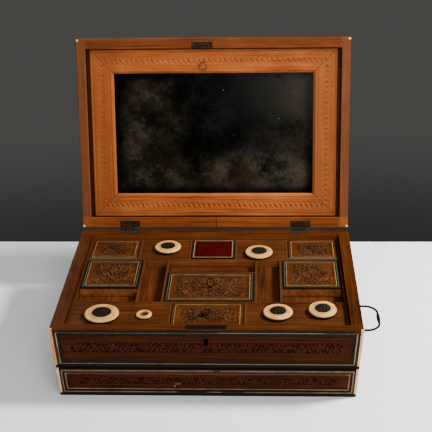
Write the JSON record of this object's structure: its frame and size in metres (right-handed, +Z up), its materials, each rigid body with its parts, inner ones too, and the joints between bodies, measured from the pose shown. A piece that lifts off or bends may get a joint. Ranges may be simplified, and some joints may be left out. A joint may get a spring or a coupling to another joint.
{
  "type": "writing box",
  "caption": "Carved wooden writing box with a hinged looking-glass lid, a fitted tray of small lidded compartments, a full-width drawer below and side handles.",
  "frame": {"origin": "middle of the case's flat underside, on the surface that it stands on", "axes": "+Z up, -Y out of the front with the keyhole and the drawer, +X to the right seen from the front; the lid stands open at the back"},
  "size_m": [0.3958, 0.3476, 0.3407],
  "materials": {
    "case_wood": "worn polished sandalwood",
    "panel_wood": "dark carved wood",
    "tray_wood": "plain oiled wood",
    "carved_lid_wood": "carved wood",
    "frame_wood": "carved sandalwood",
    "mosaic": "dark micro-mosaic inlay",
    "ivory": "aged ivory or bone",
    "carved_horn": "dark carved horn",
    "velvet": "dark red velvet",
    "dark_iron": "blackened iron",
    "dark_brass": "tarnished brass",
    "looking_glass": "old silvered glass with foxing"
  },
  "bodies": {
    "case": {"carcase": "case_wood", "upper_front_string": "ivory", "upper_front_mosaic": "mosaic", "upper_front_panel": "panel_wood", "upper_corner_strip_left": "ivory", "upper_corner_strip_right": "ivory", "lock_plate": "dark_iron", "hinge_case_left": "dark_brass", "hinge_case_right": "dark_brass", "handle_mount_left": "dark_iron", "handle_mount_right": "dark_iron", "tray": "tray_wood", "deck_back_left": "tray_wood", "deck_back_right": "tray_wood", "deck_front_left": "tray_wood", "deck_front_right": "tray_wood", "trough_left": "tray_wood", "trough_right": "tray_wood", "channel_centre": "tray_wood", "lid_back_left": "carved_lid_wood", "lid_back_right": "carved_lid_wood", "lid_side_left": "carved_lid_wood", "lid_side_right": "carved_lid_wood", "lid_centre": "carved_lid_wood", "lid_front": "carved_lid_wood", "pull_centre": "dark_iron", "pull_front": "dark_iron", "pincushion_frame": "tray_wood", "pincushion_velvet": "velvet", "cap_back_left": "ivory", "cap_back_right": "ivory", "cap_front_left": "ivory", "cap_front_mid": "ivory", "cap_front_right": "ivory", "rosette_back_left": "carved_horn", "rosette_back_right": "carved_horn", "rosette_front_left": "carved_horn", "rosette_front_mid": "carved_horn", "rosette_front_right": "carved_horn", "thimble_ring": "ivory"},
    "drawer": {"drawer_box": "case_wood", "drawer_outer_string": "ivory", "drawer_band": "mosaic", "drawer_inner_string": "ivory", "drawer_front_panel": "panel_wood", "drawer_corner_strip_left": "ivory", "drawer_corner_strip_right": "ivory"},
    "lid": {"lid_shell": "case_wood", "frame_top": "frame_wood", "frame_bottom": "frame_wood", "frame_left": "frame_wood", "frame_right": "frame_wood", "mirror_glass": "looking_glass", "frame_pull": "dark_iron", "strike_plate": "dark_brass", "hinge_lid_left": "dark_brass", "hinge_lid_right": "dark_brass"},
    "handle_left": {"handle_bail_left": "dark_iron"},
    "handle_right": {"handle_bail_right": "dark_iron"}
  },
  "joints": [
    {"name": "lid_hinge", "type": "hinge", "parent": "case", "child": "lid", "pos_m": [0, 0.1291, 0.09125], "axis": [1, 0, 0], "range_deg": [0, 103]},
    {"name": "drawer_slide", "type": "slide", "parent": "case", "child": "drawer", "axis": [0, -1, 0], "range_m": [0, 0.17]},
    {"name": "handle_left_swing", "type": "hinge", "parent": "case", "child": "handle_left", "pos_m": [-0.18133, -0.0205, 0.0427], "axis": [0, 1, 0], "range_deg": [0, 175]},
    {"name": "handle_right_swing", "type": "hinge", "parent": "case", "child": "handle_right", "pos_m": [0.18133, -0.0205, 0.0427], "axis": [0, 1, 0], "range_deg": [-85, 90]}
  ]
}
